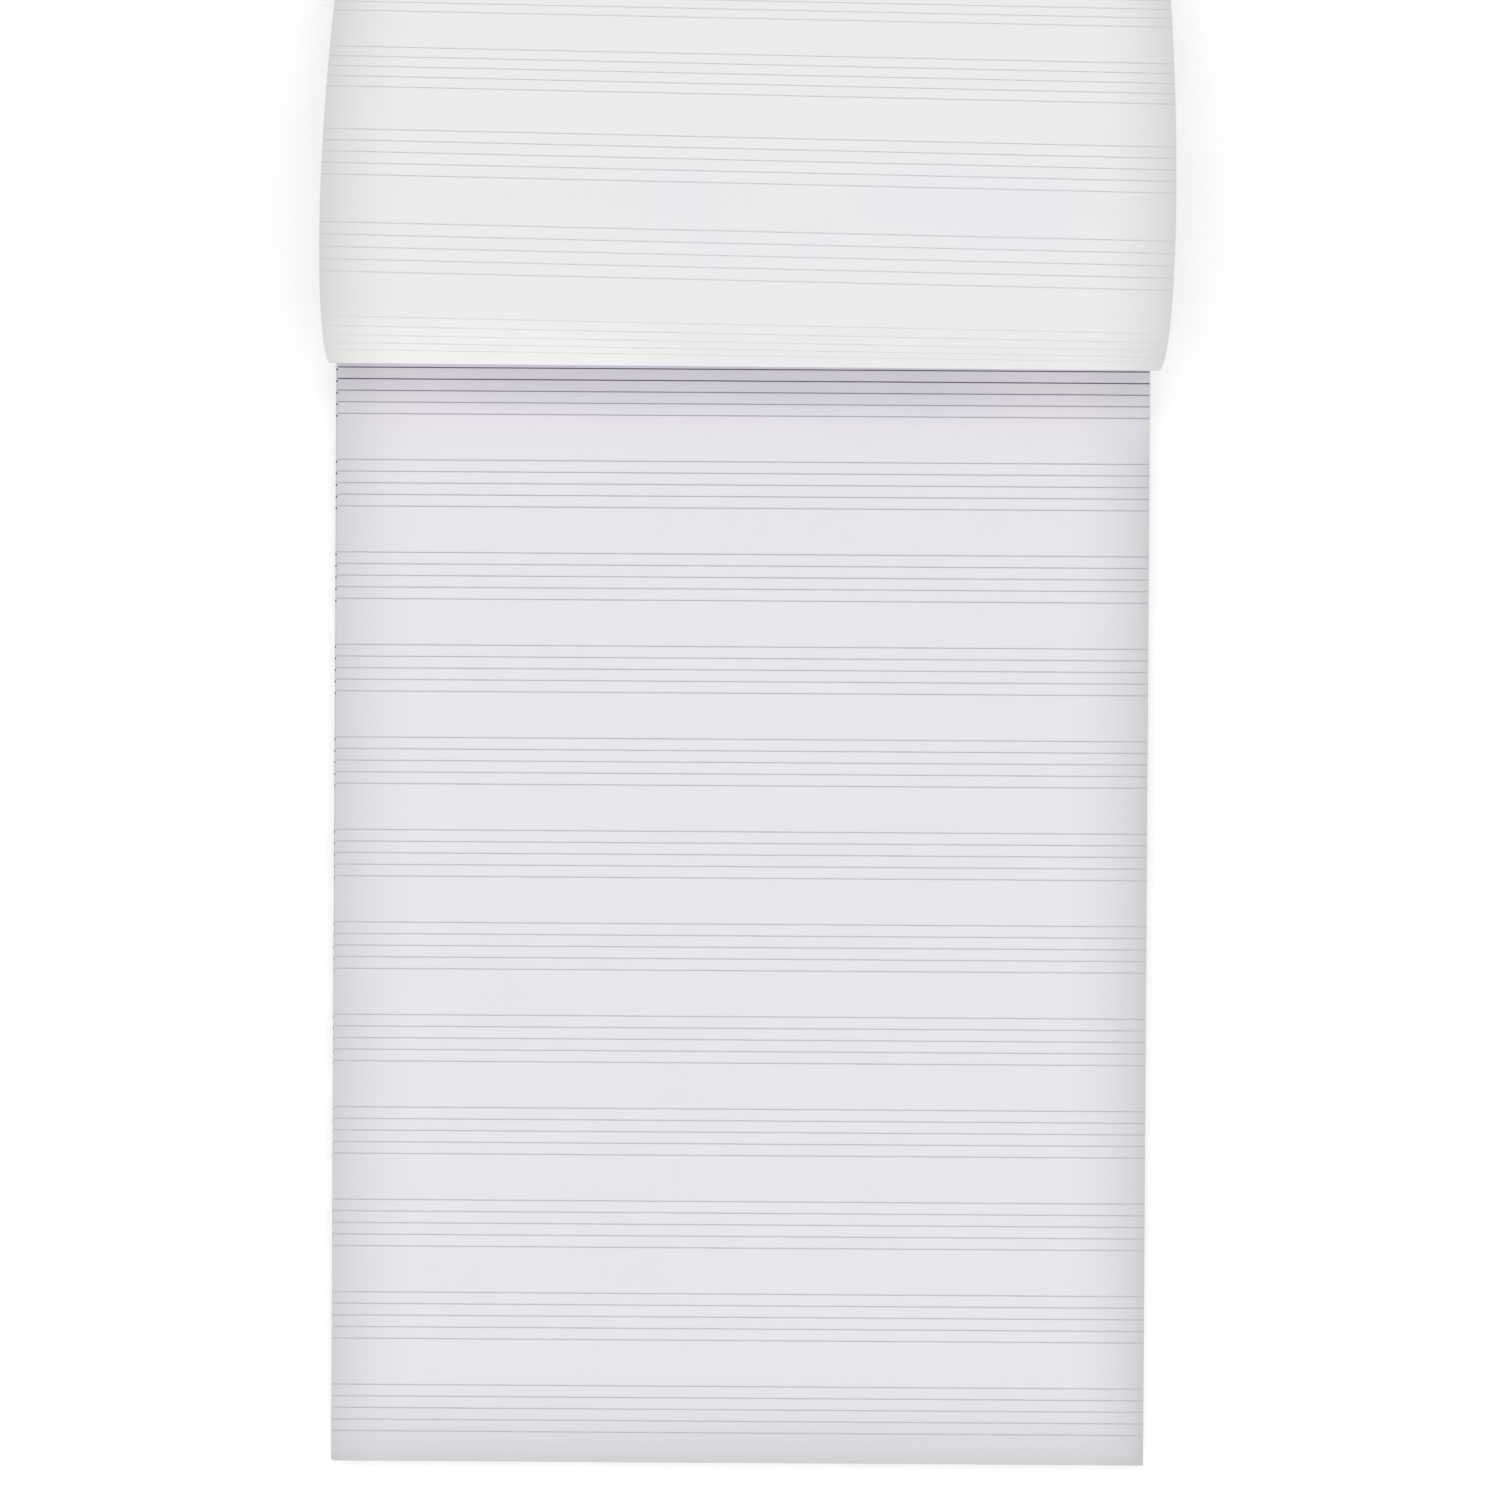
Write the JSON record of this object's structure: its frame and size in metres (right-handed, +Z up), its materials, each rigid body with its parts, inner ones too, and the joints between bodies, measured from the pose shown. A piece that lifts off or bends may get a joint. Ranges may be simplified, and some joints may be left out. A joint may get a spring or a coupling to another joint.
{
  "type": "music manuscript pad",
  "caption": "Pad of paper ruled with music staves, bound along its head on a greyboard, with its top leaf turned back over the head in an open loop.",
  "frame": {"origin": "centre of the greyboard's underside, which lies on the table", "axes": "+X along the staves to the right, +Y to the head of the pad, +Z up, out of the page"},
  "size_m": [0.21, 0.5228, 0.0551],
  "materials": {
    "page_paper": "matt, uncoated",
    "leaf_paper": "matt, uncoated",
    "greyboard": "matt, flecked",
    "padding_gum": "satin, brushed on",
    "page_ink": "matt grey print",
    "leaf_ink": "matt grey print"
  },
  "bodies": {
    "root": {"page_block": "page_paper", "turned_leaf": "leaf_paper", "backing_board": "greyboard", "head_gum": "padding_gum", "page_staves": "page_ink", "leaf_back_staves": "leaf_ink", "leaf_front_staves": "leaf_ink"}
  },
  "joints": []
}
